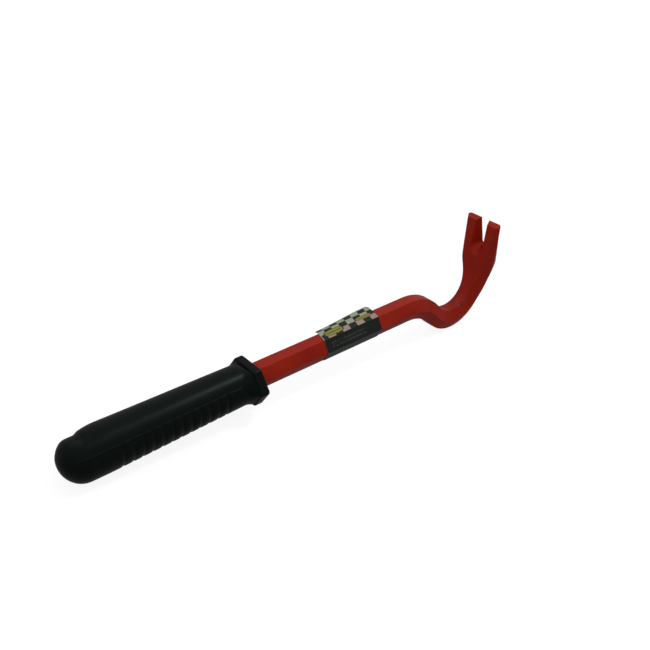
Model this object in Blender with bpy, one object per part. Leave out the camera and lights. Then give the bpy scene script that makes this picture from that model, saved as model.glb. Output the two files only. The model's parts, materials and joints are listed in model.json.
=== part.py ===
# Gooseneck pry bar: a forged hexagonal steel bar, its moulded grip and a wrap-round paper label.
# Units are metres. Every piece is drawn along the shank: +X runs from the grip's collar to the claw,
# +Z is the shank's top flat, and the origin is on the shank's axis at the collar's front face.
# The whole bar is then tilted to lie on its butt and its heel, and centred over the origin.

from math import acos, atan2, cos, exp, hypot, pi, radians, sin, sqrt

import bmesh
import bpy
from mathutils import Matrix, Vector

# Steel bar: hexagonal stock
HEX_FLATS = 0.016            # across the flats
HEX_EDGE = 0.0008            # radius of the rolled edges
TANG_COVER = 0.0230          # from the tang's end to the grip's end
SHANK_LENGTH = 0.1408        # collar to the first bend

# Steel bar: gooseneck, each bend by the radius of its centreline
DIP_RADIUS = 0.0359
DIP_ANGLE = radians(48.5)
DIP_RUN = 0.0042
HEEL_RADIUS = 0.0258
HEEL_ANGLE = radians(98.5)
BLADE_RADIUS = 0.0434
BLADE_ANGLE = radians(38.6)
BLADE_RUN = 0.0388
WAIST_PLACE = 0.0020         # past the start of the heel bend, where the bar is drawn thinnest
WAIST_SPREAD = 0.0110
WAIST_DEPTH = 0.0014
BEND_STEP = radians(6.0)

# Steel bar: forged claw
CLAW_LENGTH = 0.0340         # the flat part, from its shoulders to the tip
CLAW_BELLY = 0.7             # under 1 the sides bow out between the shoulders and the tip
FLARE_LENGTH = 0.0364        # hexagon to flat section
FLARE_BELLY = 1.3            # over 1 the sides start to widen late
CLAW_WIDTH = 0.0323          # at the tip
SHOULDER_WIDTH = 0.0288
SHOULDER_THICKNESS = 0.0127
TIP_THICKNESS = 0.0042
FACE_INSET = 0.0030          # inner face, in from the side ridge
BACK_INSET = 0.0025          # back face, in from the side ridge
TIP_FACE_INSET = 0.0020
TIP_BACK_INSET = 0.0017
RIDGE_DROP = 0.15            # how near the side ridge comes to the back at the tip
TIP_BEVEL = 0.0021           # how far the inner face stops short of the back edge
CLAW_STEP = 0.0055

# Nail slot: straight flanks and a round root, its whole wall leaning open towards the inner face.
# Its sizes are those at half the blade's thickness.
SLOT_MOUTH = 0.0094
SLOT_STRAIGHT = 0.0190       # tip to the centre of the root
SLOT_ROOT_RADIUS = 0.0038
SLOT_SPLAY = radians(24.0)
SLOT_RAMP = 1.2              # how much further down the blade the root runs as it widens

# Grip
GRIP_LENGTH = 0.1380
GRIP_ROLL = radians(30.0)    # turned on the shank from the collar's own upright
COLLAR_WIDTH = 0.0408        # across its two side corners
COLLAR_HEIGHT = 0.0272       # across its top and bottom flats
COLLAR_FLAT = 0.0214         # width of the top and bottom flats
COLLAR_SHARPNESS = 36.0      # the higher, the tighter its corners
COLLAR_LENGTH = 0.0068
COLLAR_EDGE = 0.0012
FLARE_END = 0.0130
FRONT_DIAMETER = 0.0280
REAR_DIAMETER = 0.0319
REAR_LENGTH = 0.0260         # the stretch at the butt that stays at the rear diameter
FRONT_DROP = 0.0006          # the body hangs a little below the shank's axis
REAR_DROP = 0.0012
BUTT_LENGTH = 0.0150
BORE_CLEARANCE = 0.0003      # round the hexagonal tang
GRIP_SIDES = 48

# Finger ribs under the grip
RIB_START = 0.0280
RIB_TAIL = 0.0340            # from the last rib, at least, to the grip's end
RIB_PITCH = 0.0068
RIB_DEPTH = 0.0006
RIB_WIDTH = 0.0034
RIB_EDGE = radians(84.0)     # from the grip's top, where the grooves run out
RIB_FULL = radians(98.0)

# Step across the top of the butt, placed from the grip's end
STEP_SHOULDER = 0.0300
STEP_START = 0.0200
STEP_END = 0.0148
STEP_SOFTENING = 0.0009
STEP_DEPTH = 0.0026
STEP_ROUND = 0.0105
STEP_SWELL = 1.12            # how much fuller the dome is behind the step
STEP_FULL = radians(32.0)
STEP_EDGE = radians(68.0)

# Paper label round the shank
LABEL_START = 0.0578
LABEL_LENGTH = 0.0507
LABEL_SKEW = 0.24            # the loose top is pulled this much towards the claw
LABEL_GAP = 0.0002
LABEL_THICKNESS = 0.0002
FLAP_LENGTH = 0.0070
FLAP_CORNER = 0.0030
FLAP_DROOP = radians(25.0)   # at the grip's end of the label
FLAP_LIFT = radians(-3.0)    # at the claw's end
LABEL_STATIONS = 12

# Sizes that follow from others
TANG_LENGTH = GRIP_LENGTH - TANG_COVER
REAR_START = GRIP_LENGTH - REAR_LENGTH
RIB_COUNT = int((GRIP_LENGTH - RIB_START - RIB_TAIL) / RIB_PITCH) + 1

RED_PAINT = ((0.370, 0.021, 0.013, 1.0), 0.38, 0.0)
BLACK_RUBBER = ((0.012, 0.016, 0.014, 1.0), 0.48, 0.0)
LABEL_PAPER = ((0.045, 0.050, 0.045, 1.0), 0.40, 0.0)


def clear_scene():
    for item in list(bpy.data.objects):
        bpy.data.objects.remove(item, do_unlink=True)


def material(name, look):
    colour, roughness, metallic = look
    made = bpy.data.materials.new(name)
    made.use_nodes = True
    shader = made.node_tree.nodes["Principled BSDF"]
    shader.inputs["Base Color"].default_value = colour
    shader.inputs["Roughness"].default_value = roughness
    shader.inputs["Metallic"].default_value = metallic
    return made


def smooth(low, high, value):
    """0 below low, 1 above high, with an even ease between."""
    share = min(max((value - low) / (high - low), 0.0), 1.0)
    return share * share * (3.0 - 2.0 * share)


def mix(first, second, share):
    return first + (second - first) * share


def add_object(name, mesh, look, sharp_angle):
    mesh.shade_smooth()
    mesh.set_sharp_from_angle(angle=sharp_angle)
    mesh.materials.append(material(name + "_finish", look))
    made = bpy.data.objects.new(name, mesh)
    bpy.context.scene.collection.objects.link(made)
    return made


def mesh_from(bm, name):
    bmesh.ops.recalc_face_normals(bm, faces=bm.faces)
    mesh = bpy.data.meshes.new(name)
    bm.to_mesh(mesh)
    bm.free()
    return mesh


def skin_rings(rings, name):
    """Closed mesh over rings of equal point counts, capped at both ends."""
    bm = bmesh.new()
    loops = [[bm.verts.new(point) for point in ring] for ring in rings]
    count = len(loops[0])
    for low, high in zip(loops, loops[1:]):
        for i in range(count):
            j = (i + 1) % count
            bm.faces.new((low[i], low[j], high[j], high[i]))
    bm.faces.new(loops[0])
    bm.faces.new(loops[-1])
    return mesh_from(bm, name)


def cut(target, mesh, name):
    """Subtracts mesh from target with a cutter object that stays out of the model."""
    cutter = bpy.data.objects.new(name, mesh)
    bpy.context.scene.collection.objects.link(cutter)
    cutter.hide_render = True
    cutter.display_type = "WIRE"
    boolean = target.modifiers.new(name, "BOOLEAN")
    boolean.operation = "DIFFERENCE"
    boolean.solver = "EXACT"
    boolean.object = cutter
    return cutter


def rounded_corners(corners, radius, steps=2):
    """The outline of a convex polygon, listed anticlockwise, with each corner turned to an arc."""
    outline = []
    for i, corner in enumerate(corners):
        before = (corner - corners[i - 1]).normalized()
        after = (corners[(i + 1) % len(corners)] - corner).normalized()
        turn = acos(max(-1.0, min(1.0, before.dot(after))))
        start = Vector((before.y, -before.x))
        centre = corner - before * radius * sin(turn / 2) / cos(turn / 2) - start * radius
        heading = atan2(start.y, start.x)
        for k in range(steps + 1):
            angle = heading + turn * k / steps
            outline.append(centre + Vector((cos(angle), sin(angle))) * radius)
    return outline


# ---- steel bar ----

def neck_centreline():
    """Places along the bar as (distance from the first bend, x, z, angle of the bar)."""
    places = [(-TANG_LENGTH - SHANK_LENGTH, -TANG_LENGTH, 0.0, 0.0)]
    run, x, z, angle = 0.0, SHANK_LENGTH, 0.0, 0.0
    places.append((run, x, z, angle))
    bends = ((DIP_RADIUS, -DIP_ANGLE, DIP_RUN), (HEEL_RADIUS, HEEL_ANGLE, 0.0),
             (BLADE_RADIUS, BLADE_ANGLE, BLADE_RUN))
    for radius, turn, straight in bends:
        steps = max(2, round(abs(turn) / BEND_STEP))
        for _ in range(steps):
            chord = 2.0 * radius * sin(abs(turn) / steps / 2)
            middle = angle + turn / steps / 2
            x += chord * cos(middle)
            z += chord * sin(middle)
            angle += turn / steps
            run += radius * abs(turn) / steps
            places.append((run, x, z, angle))
        pieces = max(1, round(straight / CLAW_STEP)) if straight else 0
        for _ in range(pieces):
            run += straight / pieces
            x += straight / pieces * cos(angle)
            z += straight / pieces * sin(angle)
            places.append((run, x, z, angle))
    return places


def waist(run):
    """How much thinner the bar is at a distance from the first bend."""
    heel = DIP_RADIUS * DIP_ANGLE + DIP_RUN
    return WAIST_DEPTH * exp(-((run - heel - WAIST_PLACE) / WAIST_SPREAD) ** 2)


def bar_section(run, to_tip):
    """Corner points (across, up) of the bar's section, by the distances from the first bend and
    from the tip."""
    hex_side = HEX_FLATS / sqrt(3.0)
    share = min(max(1.0 - (to_tip - CLAW_LENGTH) / FLARE_LENGTH, 0.0), 1.0)
    flare = smooth(0.0, 1.0, share)
    taper = max(0.0, 1.0 - to_tip / CLAW_LENGTH)
    width = mix(mix(2 * hex_side, SHOULDER_WIDTH, share ** FLARE_BELLY), CLAW_WIDTH, taper ** CLAW_BELLY)
    height = mix(mix(HEX_FLATS, SHOULDER_THICKNESS, flare), TIP_THICKNESS, taper)
    width -= waist(run) * 2 / sqrt(3.0)
    height -= waist(run)
    face = mix(hex_side / 2, width / 2 - mix(FACE_INSET, TIP_FACE_INSET, taper), flare)
    back = mix(hex_side / 2, width / 2 - mix(BACK_INSET, TIP_BACK_INSET, taper), flare)
    ridge = -RIDGE_DROP * height * taper
    corners = ((-width / 2, ridge), (-back, -height / 2), (back, -height / 2),
               (width / 2, ridge), (face, height / 2), (-face, height / 2))
    return [Vector(corner) for corner in corners], height


def claw_axes():
    """Tip centre, direction to the tip, and normal of the inner face."""
    _, x, z, angle = neck_centreline()[-1]
    along = Vector((cos(angle), 0.0, sin(angle)))
    inward = Vector((-sin(angle), 0.0, cos(angle)))
    return Vector((x, 0.0, z)), along, inward


def slot_outline(spread):
    """The slot's outline as (across, down the blade) points, widened all round by spread."""
    root_radius = SLOT_ROOT_RADIUS + spread
    mouth = SLOT_MOUTH / 2 + spread
    straight = SLOT_STRAIGHT + SLOT_RAMP * max(spread, 0.0)
    beyond = 2.0 * TIP_BEVEL
    flank = acos(root_radius / hypot(mouth, straight)) - atan2(straight, mouth)
    wide = mouth + beyond * sin(flank) / cos(flank)
    steps = 10
    arc = [flank + (pi - 2 * flank) * k / steps for k in range(steps + 1)]
    root = [(root_radius * cos(a), straight + root_radius * sin(a)) for a in arc]
    return [(wide, -beyond)] + root + [(-wide, -beyond)]


def slot_cutter_mesh():
    """Cutter for the nail slot, wide above the inner face and narrow below the back."""
    tip, along, inward = claw_axes()
    reach = 0.6 * SHOULDER_THICKNESS
    rings = []
    for side in (-reach, 0.0, reach):
        outline = slot_outline(side * sin(SLOT_SPLAY) / cos(SLOT_SPLAY))
        rings.append([tip + Vector((0.0, v, 0.0)) - along * u + inward * side for v, u in outline])
    return skin_rings(rings, "nail_slot")


def make_steel_bar():
    places = neck_centreline()
    total = places[-1][0]
    rings = []
    for run, x, z, angle in places:
        corners, height = bar_section(run, total - run)
        along = Vector((cos(angle), 0.0, sin(angle)))
        inward = Vector((-sin(angle), 0.0, cos(angle)))
        centre = Vector((x, 0.0, z))
        ring = []
        for across, up in rounded_corners(corners, HEX_EDGE):
            bevel = TIP_BEVEL * (up / height + 0.5) if run == total else 0.0
            ring.append(centre + Vector((0.0, across, 0.0)) + inward * up - along * bevel)
        rings.append(ring)
    bar = add_object("steel_bar", skin_rings(rings, "steel_bar"), RED_PAINT, radians(35.0))
    return bar, cut(bar, slot_cutter_mesh(), "nail_slot")


# ---- grip ----

def collar_radius(angle):
    """Distance from the centre to the collar's six-sided outline, one side corner at angle 0."""
    rise = atan2(COLLAR_HEIGHT / 2, (COLLAR_WIDTH - COLLAR_FLAT) / 2)
    slant = COLLAR_WIDTH / 2 * sin(rise)
    lean = pi / 2 - rise
    sides = [(pi / 2, COLLAR_HEIGHT / 2), (-pi / 2, COLLAR_HEIGHT / 2)]
    sides += [(facing, slant) for facing in (lean, -lean, pi - lean, lean - pi)]
    total = sum(max(0.0, cos(angle - facing) / reach) ** COLLAR_SHARPNESS for facing, reach in sides)
    return total ** (-1.0 / COLLAR_SHARPNESS)


def body_radius(back):
    share = (back - FLARE_END) / (REAR_START - FLARE_END)
    return mix(FRONT_DIAMETER, REAR_DIAMETER, min(share, 1.0)) / 2


def body_drop(back):
    return mix(FRONT_DROP, REAR_DROP, smooth(0.0, REAR_START, back))


def rib_groove(back, from_top):
    nearest = round((back - RIB_START) / RIB_PITCH)
    nearest = min(max(nearest, 0), RIB_COUNT - 1)
    off = abs(back - RIB_START - nearest * RIB_PITCH)
    if off > RIB_WIDTH / 2:
        return 0.0
    return RIB_DEPTH * smooth(RIB_EDGE, RIB_FULL, from_top) * (0.5 + 0.5 * cos(2 * pi * off / RIB_WIDTH))


def butt_step(back, from_top):
    """How far the top of the butt is let in."""
    ahead = GRIP_LENGTH - back
    slope = STEP_SOFTENING * max(0.0, (STEP_SHOULDER - ahead) / (STEP_SHOULDER - STEP_START)) ** 2
    face = (STEP_DEPTH - STEP_SOFTENING) * smooth(-STEP_START, -STEP_END, -ahead)
    return (min(slope, STEP_SOFTENING) + face) * (1.0 - smooth(STEP_FULL, STEP_EDGE, from_top))


def dome_share(back, from_top):
    """How much of the radius is left towards the end of the butt."""
    top = 1.0 - smooth(STEP_FULL, STEP_EDGE, from_top)
    share = min(max((back - (GRIP_LENGTH - BUTT_LENGTH)) / BUTT_LENGTH, 0.0), 1.0)
    lower = sqrt(1.0 - share ** 2)
    high = min(max((back - (GRIP_LENGTH - STEP_ROUND)) / STEP_ROUND, 0.0), 1.0)
    upper = sqrt(1.0 - high ** 2)
    return mix(lower, min(lower * STEP_SWELL, upper, 1.0), top)


def grip_radius(back, angle):
    """Distance from the grip's axis to its surface. Angle 0 is the near corner of the collar."""
    from_top = abs((angle - pi / 2 - GRIP_ROLL + pi) % (2 * pi) - pi)
    body = body_radius(back) - rib_groove(back, from_top) - butt_step(back, from_top)
    body *= dome_share(back, from_top)
    if back >= FLARE_END:
        return body
    collar = collar_radius(angle)
    if back <= COLLAR_LENGTH:
        edge = max(COLLAR_EDGE - back, back - (COLLAR_LENGTH - COLLAR_EDGE), 0.0) / COLLAR_EDGE
        return collar - COLLAR_EDGE * (1.0 - sqrt(max(0.0, 1.0 - edge ** 2)))
    share = (back - COLLAR_LENGTH) / (FLARE_END - COLLAR_LENGTH)
    return mix(body, collar - COLLAR_EDGE, (1.0 - share) ** 1.7)


def grip_stations():
    """Distances behind the collar's front face where the grip gets a ring."""
    stations = [0.0, COLLAR_EDGE * 0.35, COLLAR_EDGE, COLLAR_LENGTH - COLLAR_EDGE]
    stations += [COLLAR_LENGTH - COLLAR_EDGE * 0.35, COLLAR_LENGTH]
    stations += [mix(COLLAR_LENGTH, FLARE_END, share) for share in (0.2, 0.4, 0.6, 0.8, 1.0)]
    for i in range(RIB_COUNT):
        middle = RIB_START + i * RIB_PITCH
        stations += [middle - RIB_WIDTH / 2, middle, middle + RIB_WIDTH / 2]
    stations += [GRIP_LENGTH - mix(STEP_SHOULDER, STEP_START, share) for share in (0.0, 0.5, 1.0)]
    stations += [GRIP_LENGTH - mix(STEP_START, STEP_END, share) for share in (0.3, 0.5, 0.7, 1.0)]
    butt_start = GRIP_LENGTH - BUTT_LENGTH
    stations += [butt_start + BUTT_LENGTH * sin(pi / 2 * k / 9) for k in range(1, 9)]
    stations.append(GRIP_LENGTH - 0.0001)
    return sorted(stations)


def make_grip():
    down = Vector((0.0, -sin(GRIP_ROLL), -cos(GRIP_ROLL)))
    rings = []
    for back in grip_stations():
        centre = Vector((-back, 0.0, 0.0)) + down * body_drop(back)
        ring = []
        for k in range(GRIP_SIDES):
            angle = 2 * pi * k / GRIP_SIDES
            radius = grip_radius(back, angle)
            # the near side of the bar is -Y
            ring.append(centre + Vector((0.0, -cos(angle), sin(angle))) * radius)
        rings.append(ring)
    grip = add_object("grip", skin_rings(rings, "grip"), BLACK_RUBBER, radians(50.0))
    return grip, cut(grip, bore_mesh(), "tang_bore")


def bore_mesh():
    corner = (HEX_FLATS / 2 + BORE_CLEARANCE) / cos(pi / 6)
    angles = [pi / 3 * k for k in range(6)]
    rings = []
    for x in (COLLAR_LENGTH, -TANG_LENGTH - BORE_CLEARANCE):
        rings.append([Vector((x, corner * cos(a), corner * sin(a))) for a in angles])
    return skin_rings(rings, "tang_bore")


# ---- label ----

def label_path(share):
    """Middle of the paper across the shank, as (point, outward normal), from its tucked end
    on the far side, under the shank and over the top, to the free edge of the flap."""
    apothem = HEX_FLATS / 2 + LABEL_GAP + LABEL_THICKNESS / 2
    reach = apothem / cos(pi / 6)
    bend = LABEL_THICKNESS * 1.5
    corners = [Vector((reach * cos(pi / 3 * k), reach * sin(pi / 3 * k))) for k in range(6)]
    path = []
    tuck = corners[1] + (corners[0] - corners[1]).normalized() * (LABEL_GAP + LABEL_THICKNESS) * 4
    path.append((tuck, Vector((cos(pi / 6), sin(pi / 6)))))
    for corner, turn in zip((corners[0], corners[5], corners[4], corners[3], corners[2]), range(5)):
        before = pi / 6 - pi / 3 * turn
        for angle in (before, before - pi / 6, before - pi / 3):
            normal = Vector((cos(angle), sin(angle)))
            middle = before - pi / 6
            hub = corner - Vector((cos(middle), sin(middle))) * bend / cos(pi / 6)
            path.append((hub + normal * bend, normal))
    droop = mix(-FLAP_DROOP, FLAP_LIFT, smooth(0.0, 1.0, share))
    root = corners[1]
    path.append((root, Vector((0.0, 1.0))))
    edge = min(share, 1.0 - share) * LABEL_LENGTH
    lost = FLAP_CORNER - sqrt(FLAP_CORNER ** 2 - max(FLAP_CORNER - edge, 0.0) ** 2)
    for part in (0.15, 0.5, 1.0):
        bow = droop * (0.5 + 0.5 * part)
        run = (FLAP_LENGTH - lost) * part
        path.append((root + Vector((cos(bow), sin(bow))) * run, Vector((-sin(droop), cos(droop)))))
    return path


def label_shares():
    inner = [FLAP_CORNER * (1.0 - cos(pi / 2 * k / 4)) / LABEL_LENGTH for k in range(1, 5)]
    middle = [mix(inner[-1], 1.0 - inner[-1], k / LABEL_STATIONS) for k in range(1, LABEL_STATIONS)]
    return [0.0] + inner + middle + [1.0 - s for s in reversed(inner)] + [1.0]


def make_label():
    bm = bmesh.new()
    rows = []
    for share in label_shares():
        x = LABEL_START + LABEL_LENGTH * share
        row = []
        path = label_path(share)
        ridge = path[-5][0].x
        slips = [0.0] * (len(path) - 4)
        slips += [LABEL_SKEW * (point.x - ridge) for point, normal in path[-4:]]
        for side in (0.5, -0.5):
            points = [point + normal * LABEL_THICKNESS * side for point, normal in path]
            places = [(x + slip, point.x, point.y) for slip, point in zip(slips, points)]
            row.append([bm.verts.new(place) for place in places])
        rows.append(row)
    count = len(rows[0][0])
    for low, high in zip(rows, rows[1:]):
        for side in (0, 1):
            for i in range(count - 1):
                bm.faces.new((low[side][i], low[side][i + 1], high[side][i + 1], high[side][i]))
        for i in (0, count - 1):
            bm.faces.new((low[0][i], low[1][i], high[1][i], high[0][i]))
    for outer, inner in (rows[0], rows[-1]):
        for i in range(count - 1):
            bm.faces.new((outer[i], outer[i + 1], inner[i + 1], inner[i]))
    return add_object("label", mesh_from(bm, "label"), LABEL_PAPER, radians(25.0))


# ---- resting place ----

def evaluated_points(item):
    shape = item.evaluated_get(bpy.context.evaluated_depsgraph_get())
    mesh = shape.to_mesh()
    points = [vertex.co.copy() for vertex in mesh.vertices]
    shape.to_mesh_clear()
    return points


def resting_frame(bar, grip, label):
    """Turns the bar about Y until its butt and its heel are level, and centres it on the floor."""
    bpy.context.view_layer.update()
    groups = [evaluated_points(item) for item in (grip, bar, label)]
    low, high = radians(-15.0), radians(15.0)
    for _ in range(50):
        tilt = (low + high) / 2
        turn = Matrix.Rotation(tilt, 3, "Y")
        butt, heel = (min((turn @ p).z for p in group) for group in groups[:2])
        # a positive turn about Y lifts the butt and lowers the heel
        if butt > heel:
            high = tilt
        else:
            low = tilt
    turned = [turn @ p for group in groups for p in group]
    middle = [(min(p[i] for p in turned) + max(p[i] for p in turned)) / 2 for i in (0, 1)]
    floor = min(p.z for p in turned)
    frame = bpy.data.objects.new("resting_frame", None)
    bpy.context.scene.collection.objects.link(frame)
    frame.rotation_euler = (0.0, tilt, 0.0)
    frame.location = (-middle[0], -middle[1], -floor)
    return frame


clear_scene()
steel_bar, slot_cutter = make_steel_bar()
moulded_grip, bore_cutter = make_grip()
paper_label = make_label()
rest = resting_frame(steel_bar, moulded_grip, paper_label)
for piece in (steel_bar, slot_cutter, moulded_grip, bore_cutter, paper_label):
    piece.parent = rest
bpy.context.view_layer.update()
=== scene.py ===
import json
from math import atan2, ceil, cos, exp, pi, radians, sin, sqrt

import bpy
from mathutils import Matrix, Vector


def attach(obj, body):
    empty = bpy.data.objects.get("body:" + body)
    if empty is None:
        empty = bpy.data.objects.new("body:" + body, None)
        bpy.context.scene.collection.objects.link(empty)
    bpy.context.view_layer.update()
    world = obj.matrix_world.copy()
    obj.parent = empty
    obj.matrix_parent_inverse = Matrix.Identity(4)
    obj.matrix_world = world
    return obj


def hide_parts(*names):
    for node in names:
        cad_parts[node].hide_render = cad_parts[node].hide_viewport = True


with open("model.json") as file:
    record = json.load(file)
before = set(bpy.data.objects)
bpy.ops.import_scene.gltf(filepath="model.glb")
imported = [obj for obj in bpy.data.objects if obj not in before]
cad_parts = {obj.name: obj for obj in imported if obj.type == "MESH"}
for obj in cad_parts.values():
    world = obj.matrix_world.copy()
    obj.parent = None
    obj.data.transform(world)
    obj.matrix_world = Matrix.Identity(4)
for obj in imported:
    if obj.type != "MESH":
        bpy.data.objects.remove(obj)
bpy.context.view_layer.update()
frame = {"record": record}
mounts = {mount["name"]: mount for mount in frame["record"]["mounts"]}

# The pieces are drawn along the shank: +X from the collar to the claw, +Z its top flat.
# shankPlace then lays them on the CAD bar.
collarFaceHeight = 0.0105       # the collar mount sits this far above the shank's axis
shankAlong = Vector(mounts["collar_front"]["axis"]).normalized()
shankSide = Vector((0, 1, 0))
shankUp = shankAlong.cross(shankSide)
shankOrigin = Vector(mounts["collar_front"]["pos_m"]) - shankUp * collarFaceHeight
shankAxes = Matrix((shankAlong, shankSide, shankUp)).transposed().to_4x4()
shankPlace = Matrix.Translation(shankOrigin) @ shankAxes


def ease(low, high, value):
    share = min(max((value - low) / (high - low), 0.0), 1.0)
    return share * share * (3.0 - 2.0 * share)


def mix(first, second, share):
    return first + (second - first) * share


# working in edit mode

def deselectAll():
    if bpy.context.object and bpy.context.object.mode != "OBJECT":
        bpy.ops.object.mode_set(mode="OBJECT")
    bpy.ops.object.select_all(action="DESELECT")


def makeActive(piece):
    deselectAll()
    piece.select_set(True)
    bpy.context.view_layer.objects.active = piece


def startPiece(name):
    # the primitive just added is the active object
    piece = bpy.context.object
    piece.name = name
    piece.data.name = name
    return piece


def pick(piece, test):
    # selects only the vertices that pass a test, and ends in edit mode
    bpy.ops.object.mode_set(mode="OBJECT")
    mesh = piece.data
    for group in (mesh.vertices, mesh.edges, mesh.polygons):
        group.foreach_set("select", [False] * len(group))
    for vertex in mesh.vertices:
        vertex.select = test(vertex)
    bpy.ops.object.mode_set(mode="EDIT")
    bpy.ops.mesh.select_mode(type="VERT")


def useModifier(piece, kind, **settings):
    makeActive(piece)
    modifier = piece.modifiers.new(kind.title(), kind)
    for key, value in settings.items():
        setattr(modifier, key, value)
    bpy.ops.object.modifier_apply(modifier=modifier.name)


def cutAway(piece, tool):
    useModifier(piece, "BOOLEAN", operation="DIFFERENCE", solver="EXACT", object=tool)
    bpy.data.objects.remove(tool, do_unlink=True)


def finishPiece(piece, node, sharp):
    # lays the piece on the CAD bar and hands it to the frame
    makeActive(piece)
    bpy.ops.object.transform_apply(location=True, rotation=True, scale=True)
    piece.matrix_world = shankPlace
    bpy.ops.object.transform_apply(location=True, rotation=True, scale=True)
    bpy.ops.object.shade_smooth_by_angle(angle=sharp)
    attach(piece, "root")
    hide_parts(node)


# steel bar

bar = {
    "flats": 0.016,
    "tang": 0.113,
    "shank": 0.1408,
    "shankPieces": 12,
    "bends": (                      # radius, degrees, straight run after it
        (0.0359, -48.5, 0.0042),
        (0.0258, 98.5, 0.0),
        (0.0434, 38.6, 0.0),
    ),
    "bendStep": 3.0,
    "bladeRun": 0.0388,
    "bladePieces": 14,
    "clawLength": 0.0340,
    "clawBelly": 0.7,
    "flareLength": 0.0364,
    "flareBelly": 1.3,
    "clawWidth": 0.0323,
    "shoulderWidth": 0.0288,
    "shoulderThickness": 0.0127,
    "tipThickness": 0.0042,
    "faceInset": 0.0030,
    "backInset": 0.0025,
    "tipFaceInset": 0.0020,
    "tipBackInset": 0.0017,
    "ridgeDrop": 0.15,
    "tipBevel": 0.0021,
    "waistPast": 0.0020,
    "waistSpread": 0.0110,
    "waistDepth": 0.0014,
    "edge": 0.00075,
    "edgeSegments": 3,
    "edgeAngle": 22.0,
    "slotMouth": 0.0094,
    "slotStraight": 0.0190,
    "slotRoot": 0.0038,
    "slotSplay": 24.0,
    "slotRamp": 1.2,
    "slotSides": 64,
    "cutterReach": 0.6,             # of the shoulder's thickness
    "smoothAngle": 32.0,
}


def barStations():
    # (distance along the bar, turn there in radians); the bends come last to first when it is bent
    stations = [(-bar["tang"], 0.0), (-bar["tang"] / 2, 0.0), (0.0, 0.0)]
    pieces = bar["shankPieces"]
    stations += [(bar["shank"] * k / pieces, 0.0) for k in range(1, pieces + 1)]
    run = bar["shank"]
    for radius, degrees, straight in bar["bends"]:
        steps = round(abs(degrees) / bar["bendStep"])
        turn = radians(degrees) / steps
        for step in range(steps):
            place, already = stations[-1]
            stations[-1] = (place, already + turn / 2)
            run += 2.0 * radius * sin(abs(turn) / 2)
            stations.append((run, turn / 2))
        if straight:
            run += straight
            stations.append((run, 0.0))
    pieces = bar["bladePieces"]
    stations += [(run + bar["bladeRun"] * k / pieces, 0.0) for k in range(1, pieces + 1)]
    return stations


def shapeRing(piece, ring, place, total):
    # draws one ring of the hexagon out to the blade's flatter, wider section
    toTip = total - place
    share = min(max(1.0 - (toTip - bar["clawLength"]) / bar["flareLength"], 0.0), 1.0)
    flare = ease(0.0, 1.0, share)
    taper = max(0.0, 1.0 - toTip / bar["clawLength"])
    ridge = bar["flats"] / sqrt(3.0) * 2
    heel = bar["shank"] + bar["bends"][0][0] * radians(-bar["bends"][0][1]) + bar["bends"][0][2]
    waist = bar["waistDepth"] * exp(-((place - heel - bar["waistPast"]) / bar["waistSpread"]) ** 2)
    shoulder = mix(ridge, bar["shoulderWidth"], share ** bar["flareBelly"])
    width = mix(shoulder, bar["clawWidth"], taper ** bar["clawBelly"]) - waist * 2 / sqrt(3.0)
    height = mix(mix(bar["flats"], bar["shoulderThickness"], flare), bar["tipThickness"], taper) - waist
    face = mix(ridge / 4, width / 2 - mix(bar["faceInset"], bar["tipFaceInset"], taper), flare)
    back = mix(ridge / 4, width / 2 - mix(bar["backInset"], bar["tipBackInset"], taper), flare)
    ringVertices = [piece.data.vertices[i] for i in ring]
    for vertex in ringVertices:
        side = 1.0 if vertex.co.y > 0 else -1.0
        if abs(vertex.co.z) < bar["flats"] / 8:
            vertex.co = (place, side * width / 2, -bar["ridgeDrop"] * height * taper)
        elif vertex.co.z > 0:
            vertex.co = (place, side * face, height / 2)
        else:
            vertex.co = (place, side * back, -height / 2)
    if taper == 1.0:
        for vertex in ringVertices:
            vertex.co.x -= bar["tipBevel"] * (vertex.co.z / height + 0.5)


def rotateOp(angle, centre):
    # with no window transform.rotate turns the other way, so the angle is given negated
    bpy.ops.transform.rotate(value=-angle, orient_axis="Y", orient_type="GLOBAL", center_override=centre)


def forgeBlank(stations):
    # straight hexagonal stock, extruded ring by ring and drawn out at the blade
    deselectAll()
    bpy.ops.mesh.primitive_circle_add(vertices=6, radius=bar["flats"] / sqrt(3.0), fill_type="NGON",
                                      location=(stations[0][0], 0, 0), rotation=(0, pi / 2, 0))
    piece = startPiece("forgedBar")
    bpy.ops.object.transform_apply(location=True, rotation=True, scale=True)
    # a corner on each side, flats up and down
    bpy.ops.object.mode_set(mode="EDIT")
    bpy.ops.mesh.select_all(action="SELECT")
    bpy.ops.transform.rotate(value=pi / 6 if abs(piece.data.vertices[0].co.y) < 1e-6 else 0.0,
                             orient_axis="X", orient_type="GLOBAL", center_override=(0, 0, 0))
    places = [place for place, turn in stations]
    for low, high in zip(places, places[1:]):
        bpy.ops.mesh.extrude_region_move(TRANSFORM_OT_translate={"value": (high - low, 0, 0)})
    bpy.ops.object.mode_set(mode="OBJECT")
    for vertex in piece.data.vertices:
        if abs(vertex.co.z) < 1e-5:
            vertex.co.z = 0.0
    rings = []
    for place in places:
        rings.append([v.index for v in piece.data.vertices if abs(v.co.x - place) < 1e-5])
    total = places[-1]
    for ring, place in zip(rings, places):
        if place > bar["shank"]:
            shapeRing(piece, ring, place, total)
    return piece, rings


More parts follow.
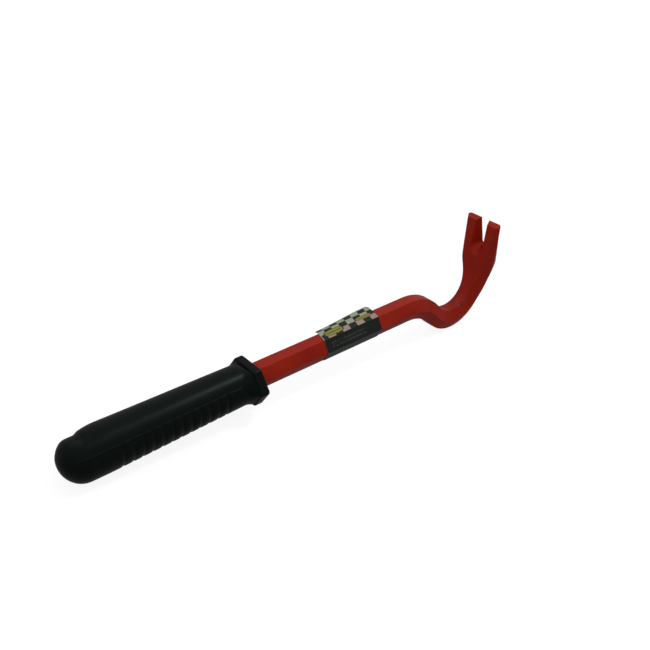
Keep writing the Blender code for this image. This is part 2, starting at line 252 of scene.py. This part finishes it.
def bendBar(piece, rings, stations):
    # from the tip back: each ring turns by its own half-step, all beyond it by a whole one
    for k in range(len(stations) - 1, -1, -1):
        place, turn = stations[k]
        if turn == 0.0:
            continue
        beyond = set(i for ring in rings[k + 1:] for i in ring)
        here = set(rings[k])
        pick(piece, lambda v: v.index in beyond)
        rotateOp(-turn, (place, 0, 0))
        pick(piece, lambda v: v.index in here)
        rotateOp(-turn / 2, (place, 0, 0))
    bpy.ops.object.mode_set(mode="OBJECT")


def bladeAxes(piece, rings):
    # the blade's centre at the tip, the way to the tip and the way off the inner face
    tip = sum((piece.data.vertices[i].co for i in rings[-2]), Vector()) / len(rings[-2])
    before = sum((piece.data.vertices[i].co for i in rings[-4]), Vector()) / len(rings[-4])
    along = (tip - before).normalized()
    inward = Vector((-along.z, 0, along.x))
    return tip + along * bar["bladeRun"] / bar["bladePieces"], along, inward


def slotOutline(name, height, spread, ramp):
    # a round root drawn out to the mouth, lying across the blade at one height
    deselectAll()
    bpy.ops.mesh.primitive_circle_add(vertices=bar["slotSides"], radius=bar["slotRoot"] + spread,
                                      location=(-ramp, 0, height))
    outline = startPiece(name)
    bpy.ops.object.transform_apply(location=True)
    pick(outline, lambda v: v.co.x > 1e-5 - ramp)
    reach = bar["slotStraight"] + 2 * bar["tipBevel"]
    bpy.ops.transform.resize(value=(0, 1, 1), center_override=(0, 0, height))
    bpy.ops.transform.translate(value=(reach, 0, 0))
    widen = (bar["slotMouth"] / 2 + spread) / (bar["slotRoot"] + spread)
    bpy.ops.transform.resize(value=(1, widen, 1), center_override=(reach, 0, height))
    bpy.ops.object.mode_set(mode="OBJECT")
    return outline


def slotTool(tip, along, inward, bottom, ramp):
    # widens from its bottom up through the inner face; the ramp carries the root down the blade
    reach = bar["cutterReach"] * bar["shoulderThickness"]
    slope = sin(radians(bar["slotSplay"])) / cos(radians(bar["slotSplay"]))
    low = slotOutline("slotLow", bottom * reach, bottom * reach * slope, 0.0)
    high = slotOutline("slotHigh", reach, reach * slope, ramp * reach * slope)
    low.select_set(True)
    bpy.context.view_layer.objects.active = high
    bpy.ops.object.join()
    bpy.ops.object.mode_set(mode="EDIT")
    bpy.ops.mesh.select_all(action="SELECT")
    bpy.ops.mesh.bridge_edge_loops()
    bpy.ops.mesh.select_all(action="SELECT")
    bpy.ops.mesh.fill_holes(sides=0)
    bpy.ops.mesh.select_all(action="SELECT")
    bpy.ops.mesh.normals_make_consistent(inside=False)
    bpy.ops.object.mode_set(mode="OBJECT")
    side = inward.cross(along)
    root = tip - along * bar["slotStraight"]
    high.matrix_world = Matrix.Translation(root) @ Matrix((along, side, inward)).transposed().to_4x4()
    return high


def forgeBar():
    stations = barStations()
    piece, rings = forgeBlank(stations)
    bendBar(piece, rings, stations)
    tip, along, inward = bladeAxes(piece, rings)
    cutAway(piece, slotTool(tip, along, inward, -1.0, 0.0))
    cutAway(piece, slotTool(tip, along, inward, 0.0, bar["slotRamp"]))
    # the clamp draws this bevel down to no width on the finished shape, but its slivers set the shading
    useModifier(piece, "BEVEL", width=bar["edge"], segments=bar["edgeSegments"], limit_method="ANGLE",
                angle_limit=radians(bar["edgeAngle"]), use_clamp_overlap=True, loop_slide=True)
    print("bar forged:", len(piece.data.polygons), "faces, tip at", [round(c * 1000, 2) for c in tip])
    return piece


# grip

grip = {
    "length": 0.1380,
    "roll": 30.0,
    "collarWidth": 0.0406,
    "collarHeight": 0.0272,
    "collarFlat": 0.0214,
    "collarSharpness": 36.0,
    "collarLength": 0.0068,
    "collarEdge": 0.0012,
    "collarEdgeRings": 5,
    "flareEnd": 0.0130,
    "flareCurve": 1.7,
    "flareRings": 10,
    "front": 0.0280,
    "rear": 0.0319,
    "rearStart": 0.1120,
    "frontDrop": 0.0006,
    "rearDrop": 0.0012,
    "butt": 0.0150,
    "buttRings": 26,
    "buttGap": 0.00004,             # the last ring stops this short of the end
    "bore": 0.0003,
    "boreSpare": 0.0020,
    "sides": 144,
    "ringGap": 0.0009,
    "ribs": 12,
    "ribStart": 0.0280,
    "ribPitch": 0.0068,
    "ribDepth": 0.0006,
    "ribWidth": 0.0034,
    "ribEdge": 84.0,
    "ribFull": 98.0,
    "stepShoulder": 0.1080,
    "stepStart": 0.1180,
    "stepEnd": 0.1232,
    "stepSoftening": 0.0009,
    "stepDepth": 0.0026,
    "stepRound": 0.0105,
    "stepSwell": 1.12,
    "stepFull": 32.0,
    "stepEdge": 68.0,
    "partingHeight": 0.00030,
    "partingWidth": 2.0,
    "partingFadeIn": 0.004,
    "partingFadeOut": (0.132, 0.137),
    "smoothAngle": 40.0,
}


def collarRadius(angle):
    rise = atan2(grip["collarHeight"] / 2, (grip["collarWidth"] - grip["collarFlat"]) / 2)
    slant = grip["collarWidth"] / 2 * sin(rise)
    lean = pi / 2 - rise
    sides = [(pi / 2, grip["collarHeight"] / 2), (-pi / 2, grip["collarHeight"] / 2)]
    sides += [(facing, slant) for facing in (lean, -lean, pi - lean, lean - pi)]
    sharp = grip["collarSharpness"]
    return sum(max(0.0, cos(angle - facing) / reach) ** sharp for facing, reach in sides) ** (-1.0 / sharp)


def ribGroove(back, fromTop):
    nearest = min(max(round((back - grip["ribStart"]) / grip["ribPitch"]), 0), grip["ribs"] - 1)
    off = abs(back - grip["ribStart"] - nearest * grip["ribPitch"])
    if off > grip["ribWidth"] / 2:
        return 0.0
    side = ease(radians(grip["ribEdge"]), radians(grip["ribFull"]), fromTop)
    return grip["ribDepth"] * side * (0.5 + 0.5 * cos(2 * pi * off / grip["ribWidth"]))


def stepShare(fromTop):
    return 1.0 - ease(radians(grip["stepFull"]), radians(grip["stepEdge"]), fromTop)


def buttStep(back, fromTop):
    shoulder = max(0.0, (back - grip["stepShoulder"]) / (grip["stepStart"] - grip["stepShoulder"]))
    slope = min(grip["stepSoftening"] * shoulder ** 2, grip["stepSoftening"])
    drop = (grip["stepDepth"] - grip["stepSoftening"]) * ease(grip["stepStart"], grip["stepEnd"], back)
    return (slope + drop) * stepShare(fromTop)


def domeShare(back, fromTop):
    share = min(max((back - (grip["length"] - grip["butt"])) / grip["butt"], 0.0), 1.0)
    lower = sqrt(1.0 - share ** 2)
    high = min(max((back - (grip["length"] - grip["stepRound"])) / grip["stepRound"], 0.0), 1.0)
    upper = sqrt(1.0 - high ** 2)
    return mix(lower, min(lower * grip["stepSwell"], upper, 1.0), stepShare(fromTop))


def partingLine(back, fromTop):
    # a fine witness line where the mould's halves met, on each side
    off = abs(fromTop - pi / 2)
    start = grip["flareEnd"]
    along = ease(start, start + grip["partingFadeIn"], back) * (1.0 - ease(*grip["partingFadeOut"], back))
    return grip["partingHeight"] * along * max(0.0, 1.0 - off / radians(grip["partingWidth"]))


def gripRadius(back, angle):
    # angle 0 is the collar's corner on the near side
    fromTop = abs((angle - pi / 2 - radians(grip["roll"]) + pi) % (2 * pi) - pi)
    share = min((back - grip["flareEnd"]) / (grip["rearStart"] - grip["flareEnd"]), 1.0)
    body = mix(grip["front"], grip["rear"], share) / 2
    body += partingLine(back, fromTop) - ribGroove(back, fromTop) - buttStep(back, fromTop)
    body *= domeShare(back, fromTop)
    if back >= grip["flareEnd"]:
        return body
    collar = collarRadius(angle)
    edge = grip["collarEdge"]
    if back <= grip["collarLength"]:
        out = max(edge - back, back - (grip["collarLength"] - edge), 0.0) / edge
        return collar - edge * (1.0 - sqrt(max(0.0, 1.0 - out ** 2)))
    share = (back - grip["collarLength"]) / (grip["flareEnd"] - grip["collarLength"])
    return mix(body, collar - edge, (1.0 - share) ** grip["flareCurve"])


def gripStations():
    edge = grip["collarEdge"]
    rings = grip["collarEdgeRings"]
    rounding = [edge * (1.0 - cos(pi / 2 * k / rings)) for k in range(rings + 1)]
    stations = rounding + [grip["collarLength"] - r for r in reversed(rounding)]
    flare = grip["flareEnd"] - grip["collarLength"]
    rings = grip["flareRings"]
    stations += [grip["collarLength"] + flare * k / rings for k in range(1, rings + 1)]
    buttStart = grip["length"] - grip["butt"]
    count = ceil((buttStart - grip["flareEnd"]) / grip["ringGap"])
    stations += [mix(grip["flareEnd"], buttStart, k / count) for k in range(1, count + 1)]
    rings = grip["buttRings"]
    stations += [buttStart + grip["butt"] * sin(pi / 2 * k / rings) for k in range(1, rings)]
    stations.append(grip["length"] - grip["buttGap"])
    return stations


def mouldGrip():
    stations = gripStations()
    deselectAll()
    bpy.ops.mesh.primitive_circle_add(vertices=grip["sides"], radius=grip["front"] / 2, fill_type="NGON",
                                      rotation=(0, -pi / 2, 0))
    piece = startPiece("mouldedGrip")
    bpy.ops.object.transform_apply(rotation=True)
    bpy.ops.object.mode_set(mode="EDIT")
    bpy.ops.mesh.select_all(action="SELECT")
    for low, high in zip(stations, stations[1:]):
        bpy.ops.mesh.extrude_region_move(TRANSFORM_OT_translate={"value": (low - high, 0, 0)})
    bpy.ops.object.mode_set(mode="OBJECT")
    roll = radians(grip["roll"])
    for vertex in piece.data.vertices:
        back = -vertex.co.x
        angle = atan2(vertex.co.z, -vertex.co.y)
        radius = gripRadius(back, angle)
        drop = mix(grip["frontDrop"], grip["rearDrop"], ease(0.0, grip["rearStart"], back))
        vertex.co.y = -cos(angle) * radius - sin(roll) * drop
        vertex.co.z = sin(angle) * radius - cos(roll) * drop
    bpy.ops.object.mode_set(mode="EDIT")
    bpy.ops.mesh.select_all(action="SELECT")
    bpy.ops.mesh.normals_make_consistent(inside=False)
    cutAway(piece, boreTool())
    print("grip moulded:", len(piece.data.polygons), "faces")
    return piece


def boreTool():
    # the blind hexagonal bore that the tang fills
    deselectAll()
    radius = (bar["flats"] / 2 + grip["bore"]) / cos(pi / 6)
    front = grip["collarLength"]
    depth = bar["tang"] + grip["boreSpare"] + front
    bpy.ops.mesh.primitive_cylinder_add(vertices=6, radius=radius, depth=depth, rotation=(0, pi / 2, 0),
                                        location=(front - depth / 2, 0, 0))
    tool = startPiece("boreTool")
    bpy.ops.object.transform_apply(location=True, rotation=True, scale=True)
    turned = abs(tool.data.vertices[0].co.y) < 1e-5
    tool.rotation_euler = (pi / 6 if turned else 0.0, 0, 0)
    return tool


# label

label = {
    "start": 0.0578,
    "length": 0.0507,
    "tuck": 0.0016,                 # the first row is hidden this far in
    "skew": 0.24,                   # the loose top is pulled this much towards the claw
    "gap": 0.0002,
    "card": 0.0002,
    "rowsPerFace": 6,
    "flapRows": 5,
    "flap": 0.0070,
    "flapCorner": 0.0030,
    "droop": 25.0,
    "lift": -3.0,
    "columns": 96,
    "checkRows": 3,
    "checkHeight": 5.53,            # the print is in millimetres
    "checkLength": 6.7,
    "checkStart": 4.6,
    "checkSlant": 0.08,
    "border": 1.1,
    "gripBorder": 0.7,
    "clawBorder": 2.4,
    "clawBorderEnd": 5.5,
    "crisp": 0.12,
    "patches": (                    # centre along, centre from the edge, half length, half height
        (11.6, 11.6, 8.0, 3.0),
        (40.0, 10.2, 7.4, 1.8),
    ),
    "rules": (20.4, 23.0),
    "ruleHalf": 0.75,
    "ruleRun": (5.0, 38.0),
    "smoothAngle": 30.0,
}


def wrapLabel():
    apothem = bar["flats"] / 2 + label["gap"] + label["card"] / 2
    side = 2 * apothem / sqrt(3.0)
    deselectAll()
    # a flat card, printed side up, with its rows at the folds
    faceRows = 6 * label["rowsPerFace"]
    rows = faceRows + label["flapRows"]
    bpy.ops.mesh.primitive_grid_add(x_subdivisions=label["columns"], y_subdivisions=rows, size=1.0)
    card = startPiece("wrapLabel")
    rowHeights = [label["tuck"]] + [side * k / label["rowsPerFace"] for k in range(1, faceRows + 1)]
    rowHeights += [6 * side + label["flap"] * k / label["flapRows"] for k in range(1, label["flapRows"] + 1)]
    total = rowHeights[-1]
    uvLayer = card.data.uv_layers.active.data
    for vertex in card.data.vertices:
        row = round((vertex.co.y + 0.5) * rows)
        vertex.co.x = label["start"] + (vertex.co.x + 0.5) * label["length"]
        vertex.co.y = rowHeights[row]
    # the flap's two corners are rounded
    for vertex in card.data.vertices:
        over = vertex.co.y - 6 * side
        if over > 0:
            edge = min(vertex.co.x - label["start"], label["start"] + label["length"] - vertex.co.x)
            cutBack = label["flapCorner"] - edge
            if cutBack > 0:
                lost = label["flapCorner"] - sqrt(max(label["flapCorner"] ** 2 - cutBack ** 2, 0.0))
                vertex.co.y = 6 * side + over * (label["flap"] - lost) / label["flap"]
    for loop in card.data.loops:
        place = card.data.vertices[loop.vertex_index].co
        uvLayer[loop.index].uv = ((place.x - label["start"]) / label["length"], place.y / total)
    print("label card:", round(total * 1000, 2), "mm across, side", round(side * 1000, 3))
    foldCard(card, side)
    return card


def foldCard(card, side):
    # the card starts on the far upper flat and is folded down, under and over to the top flat
    for vertex in card.data.vertices:
        distance = vertex.co.y
        face = min(int(distance / side), 5)
        left = distance - face * side
        facing = radians(30.0 - 60.0 * face)
        apothem = side * sqrt(3.0) / 2
        walk = left - side / 2
        if face == 5 and left > side:
            walk = side / 2
        normal = Vector((0, cos(facing), sin(facing)))
        tangent = Vector((0, sin(facing), -cos(facing)))
        place = normal * apothem + tangent * walk
        if face == 5 and left > side:
            share = (vertex.co.x - label["start"]) / label["length"]
            bend = radians(mix(-label["droop"], label["lift"], ease(0.0, 1.0, share)))
            part = (left - side) / label["flap"]
            bow = bend * (0.5 + 0.5 * part)
            place += Vector((0, cos(bow), sin(bow))) * (left - side)
        slip = label["skew"] * (place.y + side / 2) if face == 5 else 0.0
        vertex.co = (vertex.co.x + slip, place.y, place.z)


# shader maths

class Wire:
    # a socket that can be used in Python expressions; each one adds its Math node
    def __init__(self, tree, socket):
        self.tree = tree
        self.socket = socket

    def maths(self, operation, *others, clamp=False):
        node = self.tree.nodes.new("ShaderNodeMath")
        node.operation = operation
        node.use_clamp = clamp
        for slot, value in zip(node.inputs, (self,) + others):
            plug(self.tree, slot, value)
        return Wire(self.tree, node.outputs[0])

    def __add__(self, other):
        return self.maths("ADD", other)

    def __sub__(self, other):
        return self.maths("SUBTRACT", other)

    def __mul__(self, other):
        return self.maths("MULTIPLY", other)

    def __truediv__(self, other):
        return self.maths("DIVIDE", other)

    def __pow__(self, other):
        return self.maths("POWER", other)

    def __rsub__(self, other):
        return self.maths("MULTIPLY", -1.0).maths("ADD", other)

    __radd__ = __add__
    __rmul__ = __mul__

    def above(self, edge, soft):
        # 0 below the edge and 1 above it, with a soft step
        return ((self - (edge - soft / 2)) / soft).maths("ADD", 0.0, clamp=True)


def plug(tree, slot, value):
    if isinstance(value, Wire):
        tree.links.new(value.socket, slot)
    elif value is not None:
        slot.default_value = value


class Finish:
    # one material: its tree, its shader and a single way to add a node
    def __init__(self, name, **constants):
        self.material = bpy.data.materials.new(name)
        self.material.use_nodes = True
        self.tree = self.material.node_tree
        self.shader = self.tree.nodes["Principled BSDF"]
        for key, value in constants.items():
            self.shader.inputs[key].default_value = value

    def add(self, kind, settings=None, output=0, **values):
        node = self.tree.nodes.new(kind)
        for key, value in (settings or {}).items():
            setattr(node, key, value)
        for key, value in values.items():
            name = key.replace("_", " ")
            found = [slot for slot in node.inputs if slot.name == name and slot.enabled]
            plug(self.tree, found[0], value)
        return Wire(self.tree, node.outputs[output])

    def feed(self, name, value):
        plug(self.tree, self.shader.inputs[name], value)

    def blend(self, first, second, share):
        node = self.tree.nodes.new("ShaderNodeMix")
        node.data_type = "RGBA"
        plug(self.tree, node.inputs[0], share)
        plug(self.tree, node.inputs[6], first)
        plug(self.tree, node.inputs[7], second)
        return Wire(self.tree, node.outputs[2])

    def noise(self, place, scale, detail=2.0, roughness=0.5):
        return self.add("ShaderNodeTexNoise", Vector=place, Scale=scale, Detail=detail, Roughness=roughness)

    def objectPlace(self):
        return self.add("ShaderNodeTexCoord", output=3)

    def bump(self, height, strength, distance, under=None):
        return self.add("ShaderNodeBump", Height=height, Strength=strength, Distance=distance, Normal=under)


def paint(piece, *finishes):
    piece.data.materials.clear()
    for finish in finishes:
        piece.data.materials.append(finish.material)


def near(finish, place, centre, radius, soft):
    # 1 inside a ball about centre, falling to 0 outside it
    apart = finish.add("ShaderNodeVectorMath", {"operation": "DISTANCE"}, output=1)
    vectors = apart.socket.node.inputs
    plug(finish.tree, vectors[0], place)
    vectors[1].default_value = centre
    return 1 - apart.above(radius, soft)


enamel = {
    "deep": (0.415, 0.0120, 0.0026, 1),
    "bright": (0.480, 0.0175, 0.0042, 1),
    "grime": (0.21, 0.012, 0.009, 1),
    "rubbed": (0.50, 0.11, 0.12, 1),
    "tint": (1.0, 0.82, 0.66, 1),
    "specular": 0.26,
    "roughness": 0.34,
    "rubPlace": (0.1970, -0.0045, -0.0090),    # on the outside of the heel
    "rubRadius": 0.006,
    "rubFade": 0.005,
}


def redEnamel():
    gloss = {"Specular IOR Level": enamel["specular"], "Specular Tint": enamel["tint"]}
    finish = Finish("redEnamel", **gloss)
    place = finish.objectPlace()
    broad = finish.noise(place, 45.0, 3.0)
    forged = finish.noise(place, 260.0, 4.0, 0.6)
    peel = finish.noise(place, 1500.0, 2.0)
    grime = finish.noise(place, 120.0, 6.0, 0.7).above(0.62, 0.10)
    heel = tuple(shankPlace @ Vector(enamel["rubPlace"]))
    heelSpot = near(finish, place, heel, enamel["rubRadius"], enamel["rubFade"])
    rub = finish.noise(place, 420.0, 3.0, 0.6).above(0.52, 0.06) * heelSpot
    base = finish.blend(enamel["deep"], enamel["bright"], broad.above(0.5, 0.4))
    base = finish.blend(base, enamel["grime"], grime * 0.35)
    base = finish.blend(base, enamel["rubbed"], rub * 0.65)
    finish.feed("Base Color", base)
    finish.feed("Roughness", enamel["roughness"] + forged * 0.14 + rub * 0.15)
    coarse = finish.bump(forged, 0.35, 0.00025)
    finish.feed("Normal", finish.bump(peel, 0.12, 0.00005, coarse))
    return finish


rubber = {
    "dark": (0.0020, 0.0038, 0.0028, 1),
    "cloudy": (0.0034, 0.0058, 0.0046, 1),
    "scuffed": (0.014, 0.017, 0.015, 1),
    "tint": (0.80, 1.0, 0.90, 1),
    "specular": 0.13,
    "roughness": 0.28,
}


def blackRubber():
    gloss = {"Specular IOR Level": rubber["specular"], "Specular Tint": rubber["tint"]}
    finish = Finish("blackRubber", **gloss)
    place = finish.objectPlace()
    grain = finish.noise(place, 1800.0, 3.0)
    cloud = finish.noise(place, 60.0, 4.0, 0.6)
    scuff = finish.noise(place, 240.0, 5.0, 0.7).above(0.64, 0.08)
    base = finish.blend(rubber["dark"], rubber["cloudy"], cloud)
    base = finish.blend(base, rubber["scuffed"], scuff * 0.3)
    finish.feed("Base Color", base)
    finish.feed("Roughness", rubber["roughness"] + cloud * 0.08 + scuff * 0.10)
    finish.feed("Normal", finish.bump(grain, 0.15, 0.00006))
    return finish


inks = {
    "black": (0.005, 0.009, 0.006, 1),
    "wornBlack": (0.011, 0.015, 0.011, 1),
    "pale": (0.46, 0.50, 0.36, 1),
    "palePink": (0.50, 0.36, 0.31, 1),
    "pinkFrom": 11.0,
    "patchRim": (0.030, 0.035, 0.010, 1),
    "patch": (0.36, 0.33, 0.045, 1),
    "patchBand": (0.13, 0.10, 0.02, 1),
    "border": (0.44, 0.43, 0.27, 1),
    "rule": (0.075, 0.080, 0.072, 1),
    "card": (0.42, 0.41, 0.36, 1),
    "cardFibre": (0.50, 0.49, 0.44, 1),
    "specular": 0.3,
}


def printedCard():
    # rows of checks on the flap and the top flat, plain black below, all in millimetres on the card
    finish = Finish("printedCard", **{"Specular IOR Level": inks["specular"]})
    crisp = label["crisp"]
    split = finish.add("ShaderNodeSeparateXYZ", Vector=finish.add("ShaderNodeUVMap"))
    along = split * (label["length"] * 1000)
    cardAcross = label["gap"] + label["card"] / 2 + bar["flats"] / 2
    total = 12 * cardAcross / sqrt(3.0) + label["flap"]
    up = Wire(finish.tree, split.socket.node.outputs[1])
    fromEdge = (1 - up) * (total * 1000)
    printed = label["checkRows"] * label["checkHeight"]
    slanted = along - (printed - fromEdge) * label["checkSlant"] - label["checkStart"]
    column = (slanted / label["checkLength"]).maths("FLOOR")
    row = (fromEdge / label["checkHeight"]).maths("FLOOR")
    onPrint = 1 - fromEdge.above(printed, crisp)
    white = (1 - (column + row).maths("FLOORED_MODULO", 2.0)) * onPrint
    nearGrip = (1 - along.above(label["gripBorder"], crisp)) * onPrint
    clawSide = along.above(label["length"] * 1000 - label["clawBorder"], crisp)
    nearClaw = clawSide * (1 - fromEdge.above(label["clawBorderEnd"], 0.2))
    border = (1 - fromEdge.above(label["border"], crisp)).maths("MAXIMUM", nearGrip)
    border = border.maths("MAXIMUM", nearClaw)
    grain = finish.noise(finish.objectPlace(), 900.0, 3.0)
    ink = finish.blend(inks["black"], inks["wornBlack"], grain)
    lightInk = finish.blend(inks["pale"], inks["palePink"], fromEdge.above(inks["pinkFrom"], 1.0))
    colour = finish.blend(ink, lightInk, white)
    for centreAlong, centreEdge, halfLength, halfHeight in label["patches"]:
        reachAlong = (along - centreAlong - (centreEdge - fromEdge) * label["checkSlant"]) / halfLength
        reachAcross = (fromEdge - centreEdge) / halfHeight
        shape = reachAlong.maths("ABSOLUTE") ** 3.0 + reachAcross.maths("ABSOLUTE") ** 3.0
        colour = finish.blend(colour, inks["patchRim"], 1 - shape.above(1.35, 0.15))
        colour = finish.blend(colour, inks["patch"], 1 - shape.above(0.9, 0.15))
        band = 1 - reachAcross.maths("ABSOLUTE").above(0.16, 0.05)
        colour = finish.blend(colour, inks["patchBand"], band * (1 - shape.above(0.55, 0.1)))
    colour = finish.blend(colour, inks["border"], border)
    strokes = finish.noise(finish.objectPlace(), 620.0, 1.0).above(0.47, 0.05)
    ruleStart, ruleEnd = label["ruleRun"]
    for place in label["rules"]:
        rule = 1 - (fromEdge - place).maths("ABSOLUTE").above(label["ruleHalf"], 0.15)
        inside = along.above(ruleStart, 0.3) * (1 - along.above(ruleEnd, 0.3))
        colour = finish.blend(colour, inks["rule"], rule * inside * strokes * 0.55)
    finish.feed("Base Color", colour)
    finish.feed("Roughness", 0.30 + grain * 0.10)
    finish.feed("Normal", finish.bump(finish.noise(finish.objectPlace(), 130.0, 2.0), 0.25, 0.0004))
    return finish


def plainCard():
    # the card's unprinted side and its cut edges
    finish = Finish("plainCard", **{"Specular IOR Level": inks["specular"]})
    fibres = finish.noise(finish.objectPlace(), 700.0, 5.0, 0.7)
    finish.feed("Base Color", finish.blend(inks["card"], inks["cardFibre"], fibres))
    finish.feed("Roughness", 0.6 + fibres * 0.2)
    finish.feed("Normal", finish.bump(fibres, 0.2, 0.00004))
    return finish


# studio

studio = {
    "lens": 48.56,
    "sensor": 36.0,
    "cameraPlace": (-0.269995, -0.388260, 0.338270),
    "cameraRight": (0.76663632, -0.6418489, 0.01728406),
    "cameraUp": (0.33062648, 0.41769596, 0.84629558),
    "cameraBack": (-0.55041337, -0.64308637, 0.53243314),
    "floorSize": 6.0,
    "floorHeight": -0.0002,
    "floorGrey": 0.28,
    "floorGlow": 0.88,
    "sky": ((0.30, 0.22), (0.62, 0.33), (0.98, 0.56)),    # place up the sky, grey there
    "keyPlace": (1.75, -0.55, 2.90),
    "keySize": 0.60,
    "keyPower": 20.0,
}


def setCamera():
    data = bpy.data.cameras.new("camera")
    data.lens = studio["lens"]
    data.sensor_width = studio["sensor"]
    camera = bpy.data.objects.new("camera", data)
    bpy.context.scene.collection.objects.link(camera)
    axes = Matrix((studio["cameraRight"], studio["cameraUp"], studio["cameraBack"])).transposed().to_4x4()
    camera.matrix_world = shankPlace @ Matrix.Translation(studio["cameraPlace"]) @ axes
    bpy.context.scene.camera = camera


def setFloor():
    deselectAll()
    bpy.ops.mesh.primitive_plane_add(size=studio["floorSize"], location=(0, 0, studio["floorHeight"]))
    floor = startPiece("floor")
    grey = studio["floorGrey"]
    finish = Finish("paleFloor", **{"Base Color": (grey, grey, grey, 1), "Roughness": 0.9})
    finish.shader.inputs["Emission Color"].default_value = (1, 1, 1, 1)
    finish.shader.inputs["Emission Strength"].default_value = studio["floorGlow"]
    floor.data.materials.append(finish.material)
    floor.visible_diffuse = False
    floor.visible_glossy = False


def addLight(name, place, aim, size, power):
    data = bpy.data.lights.new(name, "AREA")
    data.shape = "DISK"
    data.size = size
    data.energy = power
    lamp = bpy.data.objects.new(name, data)
    bpy.context.scene.collection.objects.link(lamp)
    lamp.location = place
    lamp.rotation_euler = (Vector(aim) - Vector(place)).to_track_quat("-Z", "Y").to_euler()


def setLight():
    world = bpy.data.worlds.new("studioWorld")
    bpy.context.scene.world = world
    world.use_nodes = True
    tree = world.node_tree
    back = tree.nodes["Background"]
    coords = tree.nodes.new("ShaderNodeTexCoord")
    split = tree.nodes.new("ShaderNodeSeparateXYZ")
    ramp = tree.nodes.new("ShaderNodeValToRGB")
    shift = tree.nodes.new("ShaderNodeMapRange")
    shift.inputs["From Min"].default_value = -1.0
    tree.links.new(coords.outputs["Generated"], split.inputs[0])
    tree.links.new(split.outputs[2], shift.inputs["Value"])
    tree.links.new(shift.outputs[0], ramp.inputs[0])
    tree.links.new(ramp.outputs[0], back.inputs["Color"])
    stops = ramp.color_ramp.elements
    stops.new(studio["sky"][1][0])
    for stop, (place, grey) in zip(stops, studio["sky"]):
        stop.position = place
        stop.color = (grey, grey, grey, 1)
    # the plain backdrop behind the floor
    backdrop = tree.nodes.new("ShaderNodeBackground")
    rays = tree.nodes.new("ShaderNodeLightPath")
    choose = tree.nodes.new("ShaderNodeMixShader")
    tree.links.new(rays.outputs["Is Camera Ray"], choose.inputs[0])
    tree.links.new(back.outputs[0], choose.inputs[1])
    tree.links.new(backdrop.outputs[0], choose.inputs[2])
    tree.links.new(choose.outputs[0], tree.nodes["World Output"].inputs["Surface"])
    backdrop.inputs["Color"].default_value = (1, 1, 1, 1)
    addLight("keyLight", studio["keyPlace"], (0, 0, 0), studio["keySize"], studio["keyPower"])
    bpy.context.scene.view_settings.view_transform = "Standard"


print("forging the bar")
forgedBar = forgeBar()
finishPiece(forgedBar, "steel_bar", radians(bar["smoothAngle"]))
paint(forgedBar, redEnamel())

print("moulding the grip")
mouldedGrip = mouldGrip()
finishPiece(mouldedGrip, "grip", radians(grip["smoothAngle"]))
paint(mouldedGrip, blackRubber())

print("wrapping the label")
wrapped = wrapLabel()
paint(wrapped, printedCard(), plainCard())
useModifier(wrapped, "SOLIDIFY", thickness=label["card"], offset=0.0,
            material_offset=1, material_offset_rim=1)
finishPiece(wrapped, "label", radians(label["smoothAngle"]))

print("setting the studio")
setCamera()
setFloor()
setLight()
